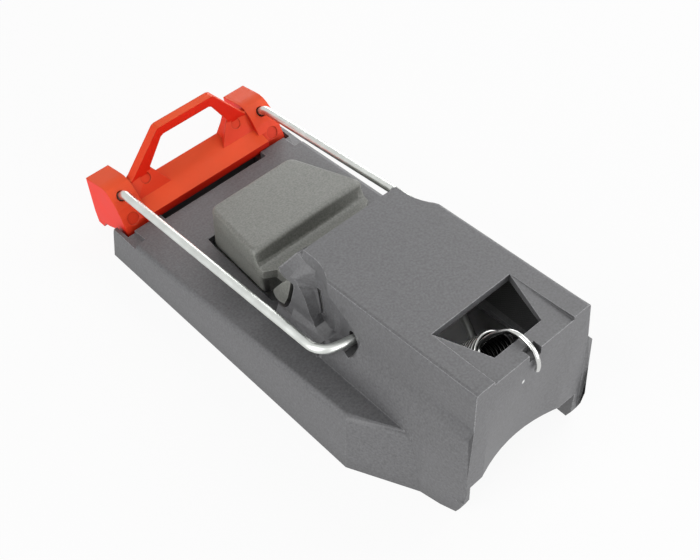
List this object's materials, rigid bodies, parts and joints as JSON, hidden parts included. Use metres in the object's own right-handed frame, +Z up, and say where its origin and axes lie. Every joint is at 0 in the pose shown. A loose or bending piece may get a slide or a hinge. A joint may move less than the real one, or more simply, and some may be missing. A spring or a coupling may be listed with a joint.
{
  "type": "snap mouse trap",
  "caption": "Snap mouse trap with a hollow moulded base and spring housing, a trip pedal, and a kill bar with a handle loop that swings on a bent wire under an extension spring.",
  "frame": {"origin": "centre of the bounding box in plan, at the height of the surface the trap stands on", "axes": "+X across the trap, +Y from the spring housing to the kill bar, +Z up"},
  "size_m": [0.0588, 0.128, 0.0424],
  "materials": {
    "grey_moulding": "dark grey moulded plastic with a fine spark texture",
    "pedal_moulding": "warm grey moulded plastic with a fine spark texture",
    "red_moulding": "orange red moulded plastic with a satin gloss",
    "plated_wire": "bright zinc plated steel wire",
    "spring_wire": "bright plated spring wire"
  },
  "bodies": {
    "base": {"base_housing": "grey_moulding", "extension_spring": "spring_wire"},
    "pedal": {"trip_pedal": "pedal_moulding"},
    "striker": {"kill_bar": "red_moulding", "striker_wire": "plated_wire"}
  },
  "joints": [
    {"name": "striker_hinge", "type": "hinge", "parent": "base", "child": "striker", "pos_m": [0, -0.0257, 0.0251], "axis": [1, 0, 0], "range_deg": [0, 105], "stiffness_Nm_per_rad": 0.05, "springref_deg": -45.84, "deforming": ["extension_spring"]},
    {"name": "pedal_hinge", "type": "hinge", "parent": "base", "child": "pedal", "pos_m": [0, -0.003, 0.0226], "axis": [1, 0, 0], "range_deg": [0, 7]}
  ]
}
